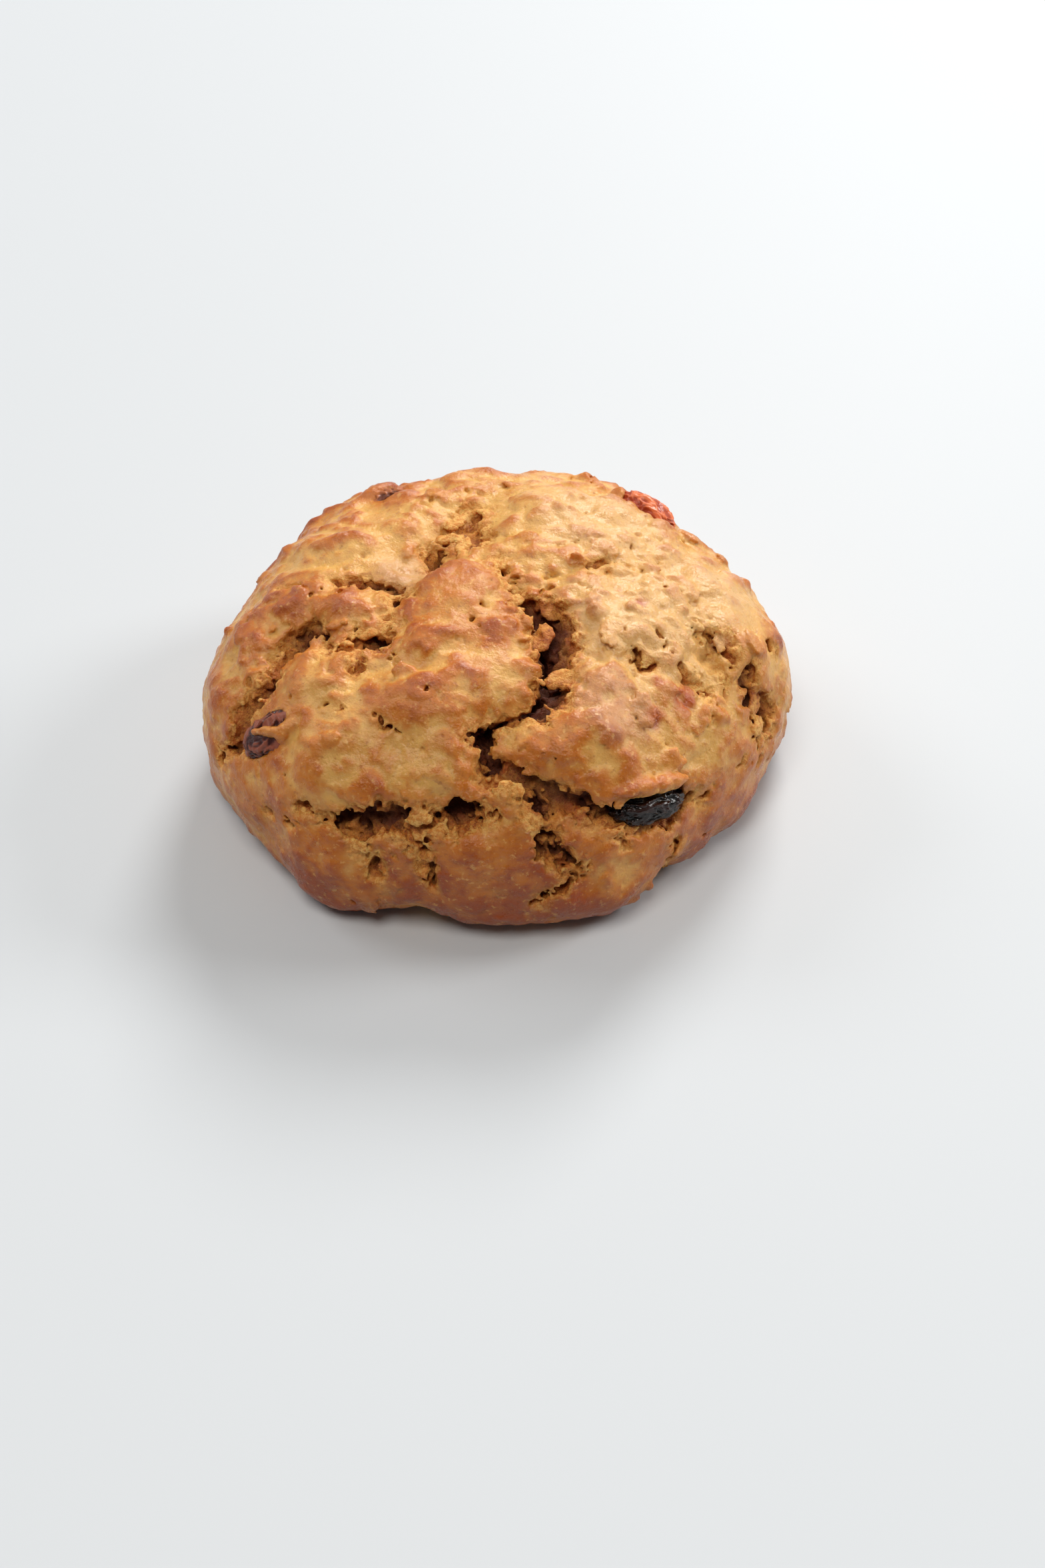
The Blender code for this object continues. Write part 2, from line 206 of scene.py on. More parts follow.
def side_point(degrees, height):
    """Point on the plain mound at an azimuth and a height."""
    azimuth = math.radians(degrees)
    rise = height - WAIST_HEIGHT
    if rise >= 0:
        share = (1 - (rise / (HEIGHT - WAIST_HEIGHT)) ** CROWN_POWER) ** (1 / CROWN_POWER)
    else:
        share = (1 - (-rise / FOOT_DROP) ** FOOT_POWER) ** (1 / FOOT_POWER)
    reach = float(outline_radius(azimuth)) * share
    return Vector((reach * math.cos(azimuth), reach * math.sin(azimuth), height))


def top_point(x, y):
    """Point on the plain mound above (x, y)."""
    share = math.hypot(x, y) / float(outline_radius(math.atan2(y, x)))
    crown = HEIGHT - WAIST_HEIGHT
    return Vector((x, y, WAIST_HEIGHT + crown * (1 - share ** CROWN_POWER) ** (1 / CROWN_POWER)))


# ---------------------------------------------------------------- fields over a block of sample points
AXES = [np.arange(low, high, VOXEL, dtype=np.float32) for low, high in zip(*BLOCK)]
X = AXES[0][:, None, None]
Y = AXES[1][None, :, None]
Z = AXES[2][None, None, :]
SHAPE = tuple(len(axis) for axis in AXES)


def spline_weights(axis, low, spacing, count):
    """Weights that spread values held every spacing from low over an axis, by cubic B-splines."""
    place = (axis - low) / spacing
    first = np.floor(place).astype(int)
    part = place - first
    parts = ((1 - part) ** 3, 3 * part ** 3 - 6 * part ** 2 + 4, -3 * part ** 3 + 3 * part ** 2 + 3 * part + 1, part ** 3)
    weights = np.zeros((len(axis), count), np.float32)
    for step, values in enumerate(parts):
        weights[np.arange(len(axis)), first + step - 1] = values / 6
    return weights


def spread(lattice, lows, spacings):
    """Smooth field over the block from values on a coarse lattice."""
    weights = [spline_weights(axis, low, gap, count)
               for axis, low, gap, count in zip(AXES, lows, spacings, lattice.shape)]
    along_x = weights[0] @ lattice.reshape(lattice.shape[0], -1)
    along_y = np.matmul(weights[1], along_x.reshape(len(AXES[0]), *lattice.shape[1:]))
    return np.matmul(along_y, weights[2].T)


def grain(spacing, seed):
    """Smooth random field of about unit size, with bumps some three spacings apart."""
    spacings = (spacing,) * 3 if np.isscalar(spacing) else spacing
    lows = [axis[0] - 1.5 * gap for axis, gap in zip(AXES, spacings)]
    counts = [int((axis[-1] - low) / gap) + 3 for axis, low, gap in zip(AXES, lows, spacings)]
    lattice = np.random.default_rng(seed).standard_normal(counts).astype(np.float32)
    return spread(lattice, lows, spacings) * 3.0


def smooth_step(values, low, high):
    share = np.clip((values - low) / (high - low), 0, 1)
    return share * share * (3 - 2 * share)


def blend_max(first, second, width):
    """The larger of two fields, with a rounded join."""
    near = np.maximum(width - np.abs(first - second), 0) / width
    return np.maximum(first, second) + near * near * width / 4


def mound_field():
    """Scaling field (1 on the plain mound, rising outwards) and its slope."""
    reach = np.hypot(X, Y) / outline_radius(np.arctan2(Y, X)).astype(np.float32)
    rise = Z - WAIST_HEIGHT
    crown = (reach ** CROWN_POWER + (np.maximum(rise, 0) / (HEIGHT - WAIST_HEIGHT)) ** CROWN_POWER) ** (1 / CROWN_POWER)
    foot = (reach ** FOOT_POWER + (np.maximum(-rise, 0) / FOOT_DROP) ** FOOT_POWER) ** (1 / FOOT_POWER)
    scale = np.where(rise >= 0, crown, foot).astype(np.float32)
    slope = np.sqrt(sum(part ** 2 for part in np.gradient(scale, VOXEL)))
    return scale, np.maximum(slope, 0.008)


def swell_field():
    """Rise of the frame's own lumps, worked out on a coarse lattice."""
    gap = 1.6
    lows = [axis[0] - 1.5 * gap for axis in AXES]
    counts = [int((axis[-1] - low) / gap) + 3 for axis, low in zip(AXES, lows)]
    spots = np.stack(np.meshgrid(*[low + gap * np.arange(count) for low, count in zip(lows, counts)], indexing="ij"), -1)
    flat = spots.reshape(-1, 3)
    offset = Vector((3.1, 7.7, 1.9))
    rise = np.array([FINE_SWELL * noise.noise(Vector(spot) / FINE_SWELL_SIZE + offset) for spot in flat])
    for places, point in ((SWELLS, top_point), (FOOT_BULGES, side_point)):
        for first, second, width, height in places:
            away = ((flat - np.array(point(first, second))) ** 2).sum(1)
            rise += height * np.exp(-away / width ** 2)
    crown = smooth_step(flat[:, 2], 12, 24)
    for x, y, half_length, half_width, turn, height in PLATES:
        along = (flat[:, 0] - x) * math.cos(math.radians(turn)) + (flat[:, 1] - y) * math.sin(math.radians(turn))
        across = (flat[:, 1] - y) * math.cos(math.radians(turn)) - (flat[:, 0] - x) * math.sin(math.radians(turn))
        rise += height * crown * np.exp(-(along / half_length) ** 2 - (across / half_width) ** 2)
    return spread(rise.reshape(counts).astype(np.float32), lows, (gap,) * 3)


def block_part(low, high):
    """Slices of the block between two corners."""
    return tuple(slice(max(0, int((a - axis[0]) / VOXEL)), max(0, int((b - axis[0]) / VOXEL) + 2))
                 for a, b, axis in zip(low, high, AXES))


def small_tears():
    """Short random tears all over the crust, as cracks whose route points are (x, y, z, half width)."""
    rng = np.random.default_rng(3)
    tears = []
    for point, outward in scattered_places(110, 4):
        heading = place_matrix((0, 0, 0), outward, rng.uniform(0, 360)).to_3x3()
        route = []
        here = Vector((0, 0, 0))
        turn = 0.0
        steps = rng.integers(2, 5)
        width = rng.uniform(0.12, 0.42)
        for step in range(steps + 1):
            route.append((*(point + heading @ here), width * (1 - abs(2 * step / steps - 1) * 0.7)))
            turn += rng.normal(0, 0.7)
            here = here + Vector((math.cos(turn), math.sin(turn), 0)) * rng.uniform(0.9, 1.8)
        tears.append((rng.uniform(0.5, 1.6), 0.1, route))
    return tears


def crack_field(foot_points, depth_under):
    """For each point: distance from the nearest crack's wall (negative inside it) and from its mouth, how broad
    that crack is, and how far the crust rolls down beside it."""
    wall = np.full(SHAPE, 9.0, np.float32)
    mouth = np.full(SHAPE, 9.0, np.float32)
    breadth = np.full(SHAPE, 1.0, np.float32)
    valley = np.zeros(SHAPE, np.float32)
    for cracks, place, roll in ((TOP_CRACKS, top_point, 0.20), (SIDE_CRACKS, side_point, 0.10), (small_tears(), None, 0.1)):
        for depth, undercut, points in cracks:
            route = np.array([place(*spot[:2]) if place else spot[:3] for spot in points], np.float32)
            widths = np.array([spot[-1] for spot in points], np.float32) * 1.2 + 0.1
            reach = 6.5 if depth > 2 else 3.0
            low = route.min(0) - reach
            high = route.max(0) + reach
            part = block_part(low - depth - 3, high + depth + 3)
            fx, fy, fz = (points[part] for points in foot_points)
            under = depth_under[part]
            near = (fx > low[0]) & (fx < high[0]) & (fy > low[1]) & (fy < high[1]) & (fz > low[2]) & (fz < high[2])
            near &= (under < depth + 1.5) & (under > -4)
            spots = np.stack((fx[near], fy[near], fz[near]), -1)
            share = np.clip(under[near] / depth, 0, None)
            fullness = np.sqrt(1 - np.minimum(share, 1) ** 2.6) + undercut * np.sin(np.pi * np.minimum(share, 1) ** 0.7)
            best_wall = np.full(len(spots), 9.0, np.float32)
            best_mouth = np.full(len(spots), 9.0, np.float32)
            best_width = np.full(len(spots), 1.0, np.float32)
            for start, end, width_a, width_b in zip(route[:-1], route[1:], widths[:-1], widths[1:]):
                step = end - start
                along = np.clip(((spots - start) @ step) / (step @ step), 0, 1)
                away = np.sqrt(((start + along[:, None] * step - spots) ** 2).sum(1))
                width = width_a + along * (width_b - width_a)
                inner = np.where(share < 1, width * fullness, -0.8 * (share - 1) * depth)
                best_width = np.where(away - width < best_mouth, width, best_width)
                best_wall = np.minimum(best_wall, away - inner)
                best_mouth = np.minimum(best_mouth, away - width)
            breadth[part][near] = np.where(best_mouth < mouth[part][near], best_width, breadth[part][near])
            wall[part][near] = np.minimum(wall[part][near], best_wall)
            mouth[part][near] = np.minimum(mouth[part][near], best_mouth)
            fall = roll * min(depth, 6.0) * np.exp(-(np.maximum(best_mouth, 0) / 2.6) ** 2)
            valley[part][near] = np.maximum(valley[part][near], fall * np.minimum(best_width / 0.8, 1))
    return wall, mouth, breadth, valley


def place_matrix(point, outward, turn):
    """Stand on a point with local Z outward, turned about it."""
    outward = Vector(outward).normalized()
    level = Vector((-outward.y, outward.x, 0))
    if level.length < 1e-3:
        level = Vector((1, 0, 0))
    level.normalize()
    basis = Matrix((level, outward.cross(level), outward)).transposed().to_4x4()
    return Matrix.Translation(point) @ basis @ Matrix.Rotation(math.radians(turn), 4, "Z")


def outward_at(point):
    """Direction out of the plain mound."""
    around = math.atan2(point[1], point[0])
    reach = float(outline_radius(around))
    share = math.hypot(point[0], point[1]) / reach
    rise = point[2] - WAIST_HEIGHT
    power, tall = (CROWN_POWER, HEIGHT - WAIST_HEIGHT) if rise >= 0 else (FOOT_POWER, FOOT_DROP)
    across = share ** (power - 1) / reach
    up = math.copysign((abs(rise) / tall) ** (power - 1) / tall, rise)
    return Vector((across * math.cos(around), across * math.sin(around), up)).normalized()


def ellipsoid_part(matrix, half_sizes, margin):
    """The slices of the block near an ellipsoid, and the distance to it there."""
    middle = np.array(matrix.translation)
    reach = max(half_sizes) + margin
    slices = tuple(slice(max(0, int((c - reach - axis[0]) / VOXEL)), max(0, int((c + reach - axis[0]) / VOXEL) + 1))
                   for c, axis in zip(middle, AXES))
    turn = np.array(matrix.to_3x3(), np.float32)
    spots = np.meshgrid(*[axis[part] - c for axis, part, c in zip(AXES, slices, middle)], indexing="ij")
    offset = np.stack(spots, -1).astype(np.float32)
    local = offset @ turn
    size = np.array(half_sizes, np.float32)
    ratio = np.sqrt(((local / size) ** 2).sum(-1))
    steep = np.sqrt(((local / size ** 2) ** 2).sum(-1)) / np.maximum(ratio, 1e-3)
    return slices, (ratio - 1) / np.maximum(steep, 0.05)


# ---------------------------------------------------------------- the dough's solid field
def scattered_places(count, seed):
    """Random points spread evenly over the mound, with the way out at each."""
    rng = np.random.default_rng(seed)
    places = []
    while len(places) < count:
        azimuth = rng.uniform(0, 2 * math.pi)
        rise = rng.uniform(-0.25, 1)
        direction = Vector((math.cos(azimuth) * math.sqrt(1 - rise * rise), math.sin(azimuth) * math.sqrt(1 - rise * rise),
                            rise))
        reach = math.hypot(direction.x, direction.y) / float(outline_radius(azimuth))
        power, tall = (CROWN_POWER, HEIGHT - WAIST_HEIGHT) if rise >= 0 else (FOOT_POWER, FOOT_DROP)
        scale = (reach ** power + (abs(rise) / tall) ** power) ** (1 / power)
        point = direction / scale + Vector((0, 0, WAIST_HEIGHT))
        if point.z > 2.0:
            places.append((point, outward_at(point)))
    return places


# Oat flakes that show: (x, y, turn, half length, half width) over the top
SHOWN_FLAKES = (
    (-19.0, -15.4, 20, 2.2, 1.2),
    (-18.4, -11.0, 70, 1.8, 1.1),
    (30.4, -26.6, -40, 3.0, 1.7),
    (26.4, -27.6, -20, 2.6, 1.5),
    (34.0, -8.2, 10, 1.9, 1.2),
    (38.4, -6.4, 60, 2.4, 1.5),
    (-22.4, -28.0, 30, 1.9, 1.1),
    (-10.6, -33.4, 10, 2.4, 1.3),
    (-4.6, 8.0, 40, 2.2, 1.2),
)


# Places that the random flakes leave bare: (x, y, z)
BARE_SPOTS = ((15.9, -36.7, 22.6), (44.7, 3.4, 20.6))

# Dough smeared over the raisins: (azimuth, height, turn, half sizes, rise)
DOLLOPS = (
    (216.4, 26.4, 35, (3.4, 0.9, 1.2), 0.5),
    (219.8, 27.6, 80, (2.2, 1.0, 1.2), 0.2),
    (125, 30.8, 5, (3.8, 1.9, 1.4), 0.1),
    (306, 23.6, -18, (6.6, 1.4, 1.7), 0.3),
)


class Dough:
    """The dough as fields over the block: below zero inside, with what the paint needs."""

    def __init__(self):
        scale, slope = mound_field()
        foot_points = (X / scale, Y / scale, WAIST_HEIGHT + (Z - WAIST_HEIGHT) / scale)
        plain = (scale - 1) / slope
        del slope
        crown_share = smooth_step(foot_points[2], 17, 28)
        self.jag(foot_points)
        wall, mouth, breadth, valley = crack_field(foot_points, -plain)
        del foot_points, scale
        crust = plain - swell_field() - self.relief(crown_share) + valley
        del plain
        self.under = -crust
        crumb_share = smooth_step(self.under, -0.2, 0.9)
        rough = 0.48 * np.abs(grain(0.95, 61)) + 0.46 * np.abs(grain(0.48, 62)) - 0.55
        wall = wall + crumb_share * rough * np.clip(breadth / 1.3, 0.1, 1.0)
        torn = np.exp(-((mouth - 0.2) / 0.9) ** 2) * smooth_step(breadth, 0.5, 1.2)
        crust = crust + torn * (0.40 * np.abs(grain(0.75, 64)) + 0.34 * np.abs(grain(0.42, 65)) - 0.45)
        self.rough = rough
        self.mouth = mouth
        self.breadth = breadth
        self.flake = np.zeros(SHAPE, np.float32)
        self.solid = blend_max(crust, -wall, 0.25)
        self.add_flakes()
        self.cut_pores()
        self.cut_pockets()
        foot = -Z + 0.22 * np.maximum(grain((2.4, 2.4, 6.0), 71), 0)
        self.solid = blend_max(self.solid, foot, 1.2)

    def relief(self, crown_share):
        """Swelling of the crust: soft lumps, folds with creases between them, and fine wrinkles on the crown."""
        soft = grain(3.1, 11)
        fold = np.abs(grain((2.4, 1.9, 2.1), 12)) - 0.8
        wrinkle = np.abs(grain((1.4, 0.95, 1.15), 13)) - 0.8
        fine = np.abs(grain(0.62, 14)) - 0.8
        glossy = smooth_step(X, 6, 13) * smooth_step(-X, -36, -28) * smooth_step(Y, -22, -16) * crown_share
        self.scab = smooth_step(grain(2.5, 15) + 0.30 * grain(0.8, 16), -0.35, 0.35)
        scales = smooth_step(grain(1.5, 17) + 0.25 * grain(0.55, 18), -0.3, 0.3)
        return (0.18 * (self.scab - 0.5) * (0.45 + 0.55 * crown_share)
                + 0.10 * (scales - 0.5) * (0.35 + 0.65 * crown_share)
                + 0.46 * (0.55 + 0.45 * crown_share) * soft + (0.12 + 0.14 * crown_share) * fold
                + (0.09 + 0.05 * crown_share + 0.16 * glossy) * wrinkle + 0.06 * fine)

    def jag(self, foot_points):
        """Shift where the cracks are felt, so that their edges tear unevenly."""
        for axis in range(3):
            foot_points[axis][...] += (0.45 * grain(2.4, 21 + axis) + 0.36 * grain(0.95, 31 + axis)
                                       + 0.26 * grain(0.5, 41 + axis))

    def add_flakes(self):
        """Oat flakes pressed into the crust."""
        rng = np.random.default_rng(5)
        flakes = []
        for x, y, turn, half_length, half_width in SHOWN_FLAKES:
            point = top_point(x, y)
            flakes.append((point, outward_at(point), turn, (half_length, half_width, 0.5), 0.05))
        for point, outward in scattered_places(90, 6):
            length = rng.uniform(1.6, 3.0)
            tilt = Vector(rng.normal(0, 0.12, 3))
            turn = rng.uniform(0, 180)
            half_sizes = (length, length * rng.uniform(0.5, 0.75), 0.45)
            rise = rng.uniform(-0.35, -0.05)
            if all((point - Vector(spot)).length > 4 for spot in BARE_SPOTS):
                flakes.append((point, outward + tilt, turn, half_sizes, rise))
        for point, outward, turn, half_sizes, rise in flakes:
            here = np.array(point)
            index = tuple(int((c - axis[0]) / VOXEL) for c, axis in zip(here, AXES))
            sunk = float(self.solid[index])
            matrix = place_matrix(point + Vector(outward).normalized() * (rise - min(max(sunk, -1.5), 1.5)), outward, turn)
            part, away = ellipsoid_part(matrix, half_sizes, 1.0)
            self.solid[part] = -blend_max(-self.solid[part], -away - 0.3 * self.rough[part], 0.6)
            self.flake[part] = np.maximum(self.flake[part], smooth_step(-away, -0.35, 0.1))

    def cut_pores(self):
        """Small open pores in the crust."""
        rng = np.random.default_rng(8)
        for point, outward in scattered_places(150, 9):
            size = rng.uniform(0.25, 0.55)
            matrix = place_matrix(point + outward * 0.1, outward, rng.uniform(0, 180))
            part, away = ellipsoid_part(matrix, (size * rng.uniform(0.8, 1.9), size, size * 1.3), 0.8)
            self.solid[part] = blend_max(self.solid[part], -away, 0.25)

    def cut_pockets(self):
        """Room for each raisin, a touch tighter than the raisin."""
        for _, _, degrees, height, turn, half_sizes, rise, _ in RAISINS:
            part, away = ellipsoid_part(raisin_matrix(degrees, height, turn, rise), half_sizes, 2.0)
            self.solid[part] = blend_max(self.solid[part], -(away + 0.25), 0.5)
        for degrees, height, turn, half_sizes, rise in DOLLOPS:
            part, away = ellipsoid_part(raisin_matrix(degrees, height, turn, rise), half_sizes, 1.5)
            rough = 0.25 * self.rough[part]
            self.solid[part] = -blend_max(-self.solid[part], -away - rough, 0.8)


def raisin_matrix(degrees, height, turn, rise):
    """Place of a raisin in the mound's frame: local Z out of the crust, local X along it."""
    here = side_point(degrees, height)
    around = (side_point(degrees + 1, height) - side_point(degrees - 1, height)).normalized()
    upward = (side_point(degrees, height + 0.5) - side_point(degrees, height - 0.5)).normalized()
    outward = around.cross(upward).normalized()
    basis = Matrix((around, outward.cross(around), outward)).transposed().to_4x4()
    return Matrix.Translation(here + outward * rise) @ basis @ Matrix.Rotation(math.radians(turn), 4, "Z")


# ---------------------------------------------------------------- from the field to a mesh
def surface_of(field):
    """Points and faces of the field's zero surface, its largest body only."""
    grid = openvdb.FloatGrid(3 * VOXEL)
    grid.copyFromArray(np.clip(field, -3 * VOXEL, 3 * VOXEL).astype(np.float32))
    points, triangles, quads = grid.convertToPolygons(isovalue=0.0, adaptivity=0.0)
    points = np.array([block[0] for block in AXES]) + points * VOXEL
    label = np.arange(len(points))
    edges = np.concatenate([quads[:, [0, 1]], quads[:, [1, 2]], quads[:, [2, 3]]]).astype(int)
    while True:
        lowest = label.copy()
        np.minimum.at(lowest, edges[:, 0], label[edges[:, 1]])
        np.minimum.at(lowest, edges[:, 1], label[edges[:, 0]])
        lowest = lowest[lowest]
        if (lowest == label).all():
            break
        label = lowest
    keep = label == np.bincount(label).argmax()
    number = np.cumsum(keep) - 1
    return points[keep], number[quads[keep[quads[:, 0]]].astype(int)]


def sample(field, points):
    """Values of a field at points, between its samples."""
    place = [np.clip((points[:, k] - AXES[k][0]) / VOXEL, 0, SHAPE[k] - 1.001) for k in range(3)]
    first = [np.floor(p).astype(int) for p in place]
    part = [p - f for p, f in zip(place, first)]
    total = np.zeros(len(points))
    for corner in range(8):
        steps = [(corner >> k) & 1 for k in range(3)]
        weight = np.prod([p if step else 1 - p for p, step in zip(part, steps)], axis=0)
        total += weight * field[first[0] + steps[0], first[1] + steps[1], first[2] + steps[2]]
    return total


def buried_share(solid, gap, points):
    """How far each point is surrounded by dough, over a distance of about the gap: 0.5 on a flat crust."""
    inside = np.clip(0.5 - solid / VOXEL, 0, 1)
    step = max(1, round(gap / VOXEL))
    trimmed = [size // step * step for size in SHAPE]
    block = inside[:trimmed[0], :trimmed[1], :trimmed[2]]
    coarse = block.reshape(trimmed[0] // step, step, trimmed[1] // step, step, trimmed[2] // step, step).mean((1, 3, 5))
    padded = np.pad(coarse, 3, mode="edge")
    lows = [axis[0] + (step - 1) / 2 * VOXEL - 3 * step * VOXEL for axis in AXES]
    return sample(spread(padded.astype(np.float32), lows, (step * VOXEL,) * 3), points)


def to_frame(points):
    """From the mound's millimetres to the frame's metres."""
    return (np.asarray(points) - np.array((*BOX_MIDDLE, 0))) * METRES


def mesh_object(name, points, faces):
    mesh = bpy.data.meshes.new(name)
    mesh.vertices.add(len(points))
    mesh.vertices.foreach_set("co", np.asarray(points, np.float32).ravel())
    mesh.loops.add(faces.size)
    mesh.loops.foreach_set("vertex_index", faces.astype(np.int32).ravel())
    mesh.polygons.add(len(faces))
    mesh.polygons.foreach_set("loop_start", np.arange(0, faces.size, faces.shape[1], dtype=np.int32))
    mesh.update(calc_edges=True)
    mesh.shade_smooth()
    item = bpy.data.objects.new(name, mesh)
    bpy.context.scene.collection.objects.link(item)
    return item


def thinned(item):
    """Spend fewer triangles where the surface is smooth, to keep the piece within its budget."""
    triangles = sum(len(polygon.vertices) - 2 for polygon in item.data.polygons)
    thinner = item.modifiers.new("thin", "DECIMATE")
    thinner.ratio = min(1.0, MOST_TRIANGLES / triangles)
    thinner.use_collapse_triangulate = True
    view = bpy.context.evaluated_depsgraph_get()
    mesh = bpy.data.meshes.new_from_object(item.evaluated_get(view))
    item.modifiers.clear()
    item.data = mesh
    mesh.shade_smooth()
    return item


def add_values(item, name, values):
    layer = item.data.attributes.new(name, "FLOAT", "POINT")
    layer.data.foreach_set("value", np.asarray(values, np.float32))


# ---------------------------------------------------------------- materials
def linear(red, green, blue):
    """A colour given as display values from 0 to 255."""
    return tuple(((c / 255 + 0.055) / 1.055) ** 2.4 if c > 10 else c / 255 / 12.92 for c in (red, green, blue)) + (1.0,)


class Paint:
    """A node material, with short calls for the nodes it needs."""

    def __init__(self, name):
        self.material = bpy.data.materials.new(name)
        self.material.use_nodes = True
        self.tree = self.material.node_tree
        self.shader = self.tree.nodes["Principled BSDF"]
        self.place = self.tree.nodes.new("ShaderNodeTexCoord").outputs["Object"]

    def node(self, kind, **settings):
        node = self.tree.nodes.new("ShaderNode" + kind)
        for key, value in settings.items():
            setattr(node, key, value)
        return node

    def put(self, socket, value):
        if isinstance(value, bpy.types.NodeSocket):
            self.tree.links.new(value, socket)
        else:
            socket.default_value = value

    def value(self, name):
        return self.node("Attribute", attribute_name=name).outputs["Fac"]

    def noise(self, size_mm, detail=2.0, roughness=0.5, stretch=None):
        node = self.node("TexNoise")
        place = self.place
        if stretch:
            mapping = self.node("Mapping")
            mapping.inputs["Scale"].default_value = stretch
            self.tree.links.new(place, mapping.inputs["Vector"])
            place = mapping.outputs["Vector"]
        self.tree.links.new(place, node.inputs["Vector"])
        node.inputs["Scale"].default_value = 1000 / size_mm
        node.inputs["Detail"].default_value = detail
        node.inputs["Roughness"].default_value = roughness
        return node.outputs["Fac"]

    def cells(self, size_mm, feature="F1"):
        node = self.node("TexVoronoi", feature=feature)
        self.tree.links.new(self.place, node.inputs["Vector"])
        node.inputs["Scale"].default_value = 1000 / size_mm
        return node.outputs["Distance"]

    def math(self, kind, first, second=0.0, clamp=False):
        node = self.node("Math", operation=kind, use_clamp=clamp)
        self.put(node.inputs[0], first)
        self.put(node.inputs[1], second)
        return node.outputs["Value"]

    def span(self, value, low, high, out_low=0.0, out_high=1.0):
        node = self.node("MapRange", interpolation_type="SMOOTHSTEP")
        self.put(node.inputs["Value"], value)
        for key, number in (("From Min", low), ("From Max", high), ("To Min", out_low), ("To Max", out_high)):
            self.put(node.inputs[key], number)
        return node.outputs["Result"]

    def mix(self, share, first, second, blend="MIX"):
        node = self.node("Mix", data_type="RGBA", blend_type=blend)
        sockets = [s for s in node.inputs if s.type == "RGBA"]
        self.put(node.inputs["Factor"], share)
        self.put(sockets[0], first)
        self.put(sockets[1], second)
        return next(s for s in node.outputs if s.type == "RGBA")

    def bump(self, height, distance_mm, normal=None, strength=1.0):
        node = self.node("Bump")
        node.inputs["Strength"].default_value = strength
        node.inputs["Distance"].default_value = distance_mm * METRES
        self.put(node.inputs["Height"], height)
        if normal:
            self.tree.links.new(normal, node.inputs["Normal"])
        return node.outputs["Normal"]

    def set(self, **values):
        for key, value in values.items():
            self.put(self.shader.inputs[key.replace("_", " ")], value)


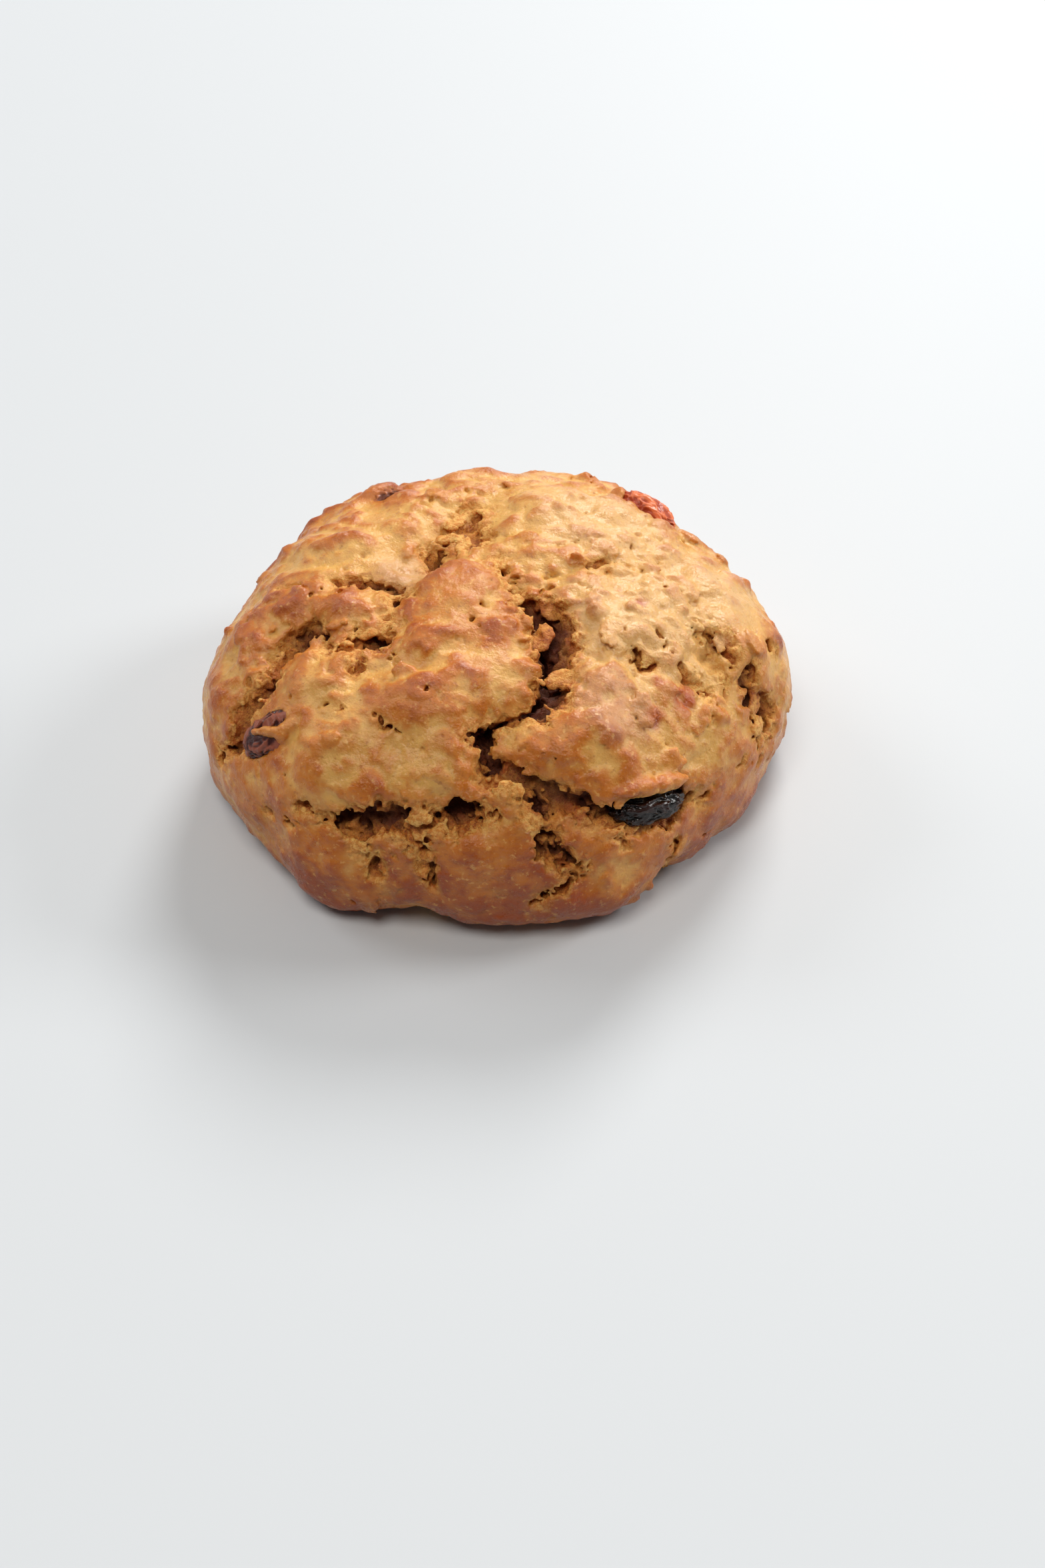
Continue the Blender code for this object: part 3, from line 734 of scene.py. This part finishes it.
def dough_paint():
    p = Paint("crust")
    crumb = p.value("crumb")
    buried = p.value("buried")
    broad = p.value("broad")
    low = p.value("low")
    flake = p.value("flake")
    edge = p.value("edge")
    red = p.value("red")
    moist = p.value("moist")
    toasted = p.value("toasted")
    deep_crack_shade = p.value("deep_crack_shade")
    blotch = p.noise(13.0, 3.0, 0.6)
    patch = p.noise(4.5, 4.0, 0.65)
    fleck = p.noise(0.9, 2.0, 0.6)

    # Crust: golden tan, with soft orange-brown toasting on what stands proud
    toast = p.math("ADD", p.span(broad, 0.52, 0.38, -0.05, 0.45), p.span(blotch, 0.30, 0.72, -0.1, 0.30))
    toast = p.math("ADD", toast, p.span(patch, 0.22, 0.84, -0.20, 0.30))
    toast = p.math("ADD", toast, p.span(buried, 0.58, 0.40, -0.15, 0.15))
    toast = p.math("ADD", toast, toasted)
    toast = p.math("ADD", toast, p.span(p.value("scab"), 0.0, 1.0, -0.07, 0.07))
    toast = p.math("ADD", toast, p.math("MULTIPLY", low, 0.35))
    colour = p.mix(p.span(toast, -0.1, 0.75), linear(217, 164, 86), linear(190, 109, 29))
    colour = p.mix(p.span(toast, 0.60, 1.25), colour, linear(154, 68, 12))
    colour = p.mix(p.span(fleck, 0.58, 0.76, 0.0, 0.5), colour, linear(150, 68, 16))
    colour = p.mix(p.span(fleck, 0.42, 0.28, 0.0, 0.4), colour, linear(238, 192, 112))
    colour = p.mix(p.math("MULTIPLY", flake, 0.25), colour, linear(226, 166, 74))
    # Painted sheen: a paler, greyer tone where the crust catches the light
    colour = p.mix(p.math("MULTIPLY", p.value("sheen"), 0.32), colour, linear(216, 178, 134))

    # Torn crumb: paler at the lips, brown and moist inside, and darkened deeper down by painted shade
    grit = p.noise(0.7, 3.0, 0.7)
    inner = p.mix(p.span(patch, 0.35, 0.65), linear(210, 138, 54), linear(176, 90, 22))
    inner = p.mix(p.span(grit, 0.50, 0.66, 0.0, 0.65), inner, linear(124, 48, 7))
    inner = p.mix(p.span(grit, 0.46, 0.34, 0.0, 0.5), inner, linear(230, 170, 86))
    # Painted shade: the crumb darkens towards the bottom of each crack
    inner = p.mix(p.math("MULTIPLY", deep_crack_shade, 0.92), inner, linear(84, 27, 3))
    lip = p.mix(p.span(grit, 0.42, 0.60), linear(234, 180, 98), linear(204, 130, 46))
    colour = p.mix(p.math("MULTIPLY", edge, p.span(patch, 0.3, 0.6, 0.35, 0.9)), colour, lip)
    colour = p.mix(crumb, colour, inner)
    colour = p.mix(p.math("MULTIPLY", moist, 0.8), colour, linear(190, 142, 92))
    colour = p.mix(p.math("MULTIPLY", red, p.span(patch, 0.35, 0.55)), colour, linear(172, 78, 22))

    fine = p.noise(0.6, 4.0, 0.7)
    leather = p.noise(1.9, 3.0, 0.6)
    pits = p.cells(1.0)
    broken = p.math("MAXIMUM", crumb, edge)
    relief = p.math("ADD", p.math("MULTIPLY", fine, 0.50), p.math("MULTIPLY", p.span(pits, 0.0, 0.3), 0.12))
    relief = p.math("ADD", relief, p.math("MULTIPLY", leather, 1.15))
    relief = p.math("ADD", relief, p.math("MULTIPLY", p.math("MULTIPLY", grit, broken), 1.8))
    gloss = p.span(patch, 0.35, 0.65, 0.38, 0.26)
    gloss = p.math("SUBTRACT", gloss, p.math("MULTIPLY", p.value("sheen"), 0.07))
    p.set(
        Base_Color=colour,
        Roughness=p.math("ADD", gloss, p.math("MULTIPLY", broken, 0.35), clamp=True),
        Normal=p.bump(relief, 0.30),
    )
    p.shader.inputs["Specular IOR Level"].default_value = 0.5
    p.shader.inputs["Subsurface Weight"].default_value = 0.25
    p.shader.inputs["Subsurface Radius"].default_value = (1.0, 0.45, 0.15)
    p.shader.inputs["Subsurface Scale"].default_value = 0.002
    return p.material


def raisin_paint(name, skin, crease_shade, roughness):
    p = Paint(name)
    fold = p.value("fold")
    wrinkle = p.noise(0.9, 3.0, 0.6, stretch=(1.0, 1.0, 1.0))
    bloom = p.noise(2.2, 3.0, 0.6)
    # Painted shade: the fold valleys take the darker crease colour
    colour = p.mix(p.span(fold, 0.2, 0.8), linear(*crease_shade), linear(*skin))
    colour = p.mix(p.span(bloom, 0.6, 0.8, 0.0, 0.12), colour, linear(130, 86, 60))
    p.set(Base_Color=colour, Roughness=p.span(wrinkle, 0.3, 0.7, roughness - 0.08, roughness + 0.12),
          Normal=p.bump(wrinkle, 0.12))
    p.shader.inputs["Specular IOR Level"].default_value = 0.35
    return p.material


# ---------------------------------------------------------------- pieces
# Reddish, caramelised spots on the crust: (x, y, radius)
RED_SPOTS = ((28.4, -18.4, 2.6), (24.2, -18.2, 1.0), (23.2, -23.6, 2.0), (21.6, -12.4, 1.1), (-4.8, -8.4, 1.4),
             (27.2, -1.4, 0.8), (19.5, -3.2, 1.0), (22, -5.2, 1.2))
# How much more (or less) toasted the crust is: (x, y, radius, amount) over the top, (azimuth, height, ...) round it
TOAST_TOP = ((-4, -1, 5, 0.5), (2.5, -5, 3, 0.4), (-5, -12, 8, 0.45), (-22, -28, 6, 0.2), (-9, -24, 7, 0.3),
             (19, -25, 5, 0.3), (28, -18, 3, 0.3), (-37, 12, 8, 0.5), (-30, 22, 7, 0.5), (-33, -2, 6, 0.4),
             (-22, -2.5, 3, 0.3), (-22, 12, 4, 0.2), (-9, 14, 3, 0.3), (22, -6, 10, -0.4), (15, 12, 12, -0.25),
             (34, 2, 8, -0.4), (32, -12, 6, -0.4), (-22, -16, 6, -0.3))
TOAST_SIDE = ((235, 5, 8, 0.6), (268, 12, 8, 0.55), (285, 10, 7, 0.4), (300, 12, 6, 0.1), (252, 12, 6, 0.2),
              (320, 9, 7, 0.3), (200, 18, 6, 0.2), (180, 14, 7, 0.3), (222, 12, 8, 0.3), (215, 22, 6, 0.1))
# Where the crust is smoother and catches more light, and a pale painted sheen is mixed into its colour: (x, y, radius)
SHEEN_SPOTS = ((22, -8, 13), (31, 2, 11), (18, -23, 7), (17, 13, 11))
MOIST_SPOTS = ((-13.5, 2.5, 5.0), (-8.5, 6.0, 2.5), (33.6, -8.2, 1.6))


def spots_at(points, spots):
    """Share of each point inside soft round spots of the crust."""
    share = np.zeros(len(points))
    for x, y, radius in spots:
        away = np.linalg.norm(points - np.array(top_point(x, y)), axis=1)
        share = np.maximum(share, smooth_step(-away, -1.25 * radius, -0.55 * radius))
    return share


def toasting_at(points):
    """Named toasted and pale places of the crust."""
    amount = np.zeros(len(points))
    for spots, place in ((TOAST_TOP, top_point), (TOAST_SIDE, side_point)):
        for first, second, radius, share in spots:
            away = ((points - np.array(place(first, second))) ** 2).sum(1)
            amount += share * np.exp(-away / radius ** 2)
    return amount


def make_dough():
    dough = Dough()
    points, faces = surface_of(dough.solid)
    item = thinned(mesh_object("dough", to_frame(points), faces[:, ::-1]))
    points = np.empty(len(item.data.vertices) * 3, np.float32)
    item.data.vertices.foreach_get("co", points)
    points = points.reshape(-1, 3) / METRES + np.array((*BOX_MIDDLE, 0))
    under = sample(dough.under, points)
    mouth = sample(dough.mouth, points)
    broken = smooth_step(sample(dough.breadth, points), 0.35, 0.9)
    add_values(item, "crumb", smooth_step(under, 0.35, 1.1) * smooth_step(-mouth, -1.6, -0.3))
    add_values(item, "edge", np.exp(-(np.maximum(mouth, 0) / 0.8) ** 2) * smooth_step(-under, -1.6, -0.6) * broken)
    add_values(item, "scab", sample(dough.scab, points))
    # Mask of the painted shade: how far down a crack each point lies
    add_values(item, "deep_crack_shade", smooth_step(under, 1.0, 4.2))
    add_values(item, "toasted", toasting_at(points))
    add_values(item, "buried", buried_share(dough.solid, 1.6, points))
    add_values(item, "broad", buried_share(dough.solid, 4.0, points))
    add_values(item, "low", smooth_step(-points[:, 2], -22, -6))
    add_values(item, "flake", sample(dough.flake, points))
    add_values(item, "red", spots_at(points, RED_SPOTS))
    add_values(item, "moist", spots_at(points, MOIST_SPOTS))
    # Mask of the painted sheen, which also makes the crust there a little glossier
    add_values(item, "sheen", spots_at(points, SHEEN_SPOTS))
    item.data.materials.append(dough_paint())
    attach(item, "root")
    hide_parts("cookie")
    return item


def make_raisin(name, look, degrees, height, turn, half_sizes, rise, seed):
    """A shrunken berry with deep folds along it and finer wrinkles across."""
    source = bpy.data.meshes.new(name)
    import bmesh
    ball = bmesh.new()
    bmesh.ops.create_icosphere(ball, subdivisions=6, radius=1.0)
    ball.to_mesh(source)
    ball.free()
    points = np.empty(len(source.vertices) * 3, np.float32)
    source.vertices.foreach_get("co", points)
    points = points.reshape(-1, 3)
    folds = []
    for corner in points:
        place = Vector(corner)
        angle = math.atan2(place.z, place.y)
        wander = 4 * noise.noise(Vector((place.x * 0.8, seed, 0.3)))
        main = math.cos(5 * angle + wander) * (1 - place.x ** 2)
        warp = noise.noise_vector(place * 1.8 + Vector((seed, 2, 1))) * 0.5
        ridge = 1 - abs(noise.noise((place + warp) * 2.6 + Vector((0, seed, 0)))) * 2.4
        small = 1 - abs(noise.noise((place + warp) * 6.0 + Vector((0, 0, seed)))) * 2.2
        folds.append(0.6 * 0.13 * main + 0.11 * ridge + 0.035 * small - 0.06)
    folds = np.array(folds)
    local = points * (1 + folds[:, None]) * np.array(half_sizes)
    matrix = raisin_matrix(degrees, height, turn, rise)
    placed = local @ np.array(matrix.to_3x3()).T + np.array(matrix.translation)
    source.vertices.foreach_set("co", to_frame(placed).astype(np.float32).ravel())
    source.shade_smooth()
    item = bpy.data.objects.new(name + "_skin", source)
    bpy.context.scene.collection.objects.link(item)
    add_values(item, "fold", smooth_step(folds, -0.06, 0.12))
    # Each look: skin colour, then the darker crease colour painted as shade in the fold valleys
    looks = {
        "dark": ((40, 19, 14), (14, 7, 5), 0.20, "raisin_dark"),
        "brown": ((170, 98, 54), (100, 48, 24), 0.42, "raisin_purple"),
        "purple": ((138, 74, 54), (60, 24, 22), 0.38, "raisin_purple"),
        "red": ((222, 118, 72), (166, 68, 38), 0.32, "raisin_purple"),
    }
    skin, crease_shade, roughness, slot = looks[look]
    item.data.materials.append(raisin_paint(name, skin, crease_shade, roughness))
    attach(item, "root")
    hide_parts(name)
    return item


# ---------------------------------------------------------------- stage
def make_stage():
    mesh = bpy.data.meshes.new("floor")
    side = 2.0
    mesh.from_pydata([(-side, -side, 0), (side, -side, 0), (side, side, 0), (-side, side, 0)], [], [(0, 1, 2, 3)])
    floor = bpy.data.objects.new("floor", mesh)
    bpy.context.scene.collection.objects.link(floor)
    p = Paint("floor")
    p.set(Base_Color=linear(198, 202, 206), Roughness=0.6)
    mesh.materials.append(p.material)


def add_light(name, place, size, power, colour):
    data = bpy.data.lights.new(name, "AREA")
    data.shape = "DISK"
    data.size = size
    data.energy = power
    data.color = colour
    item = bpy.data.objects.new(name, data)
    item.location = place
    item.rotation_euler = (-Vector(place)).to_track_quat("-Z", "Y").to_euler()
    bpy.context.scene.collection.objects.link(item)


def make_lights():
    add_light("back_window", (0.45, 1.45, 1.15), 0.7, 25.5, (1.0, 0.99, 0.97))
    add_light("side_window", (1.50, 0.40, 0.90), 0.6, 15.0, (1.0, 0.99, 0.97))
    add_light("left_window", (-1.30, 0.70, 1.10), 0.8, 8.0, (1.0, 0.99, 0.98))
    add_light("ceiling", (-0.20, -0.60, 1.70), 0.8, 16.0, (1.0, 0.95, 0.88))
    world = bpy.data.worlds.new("room")
    world.use_nodes = True
    tree = world.node_tree
    place = tree.nodes.new("ShaderNodeTexCoord")
    split = tree.nodes.new("ShaderNodeSeparateXYZ")
    ramp = tree.nodes.new("ShaderNodeMapRange")
    for key, number in (("From Min", -1.0), ("From Max", 1.0), ("To Min", 0.04), ("To Max", 0.32)):
        ramp.inputs[key].default_value = number
    tree.links.new(place.outputs["Generated"], split.inputs["Vector"])
    tree.links.new(split.outputs["Y"], ramp.inputs["Value"])
    background = tree.nodes["Background"]
    background.inputs["Color"].default_value = (0.95, 0.98, 1.0, 1)
    tree.links.new(ramp.outputs["Result"], background.inputs["Strength"])
    bpy.context.scene.world = world
    bpy.context.scene.view_settings.view_transform = "Standard"


def make_camera():
    data = bpy.data.cameras.new("camera")
    data.lens = 50
    data.sensor_width = 36
    data.sensor_fit = "AUTO"
    data.clip_start = 0.01
    item = bpy.data.objects.new("camera", data)
    item.location = (0.00453 - BOX_MIDDLE[0] * METRES, -0.2505 - BOX_MIDDLE[1] * METRES, 0.2474)
    item.rotation_euler = (math.radians(90 - 45.6), 0, 0)
    bpy.context.scene.collection.objects.link(item)
    bpy.context.scene.camera = item


make_camera()
make_lights()
make_stage()
make_dough()
for raisin in RAISINS:
    make_raisin(*raisin)
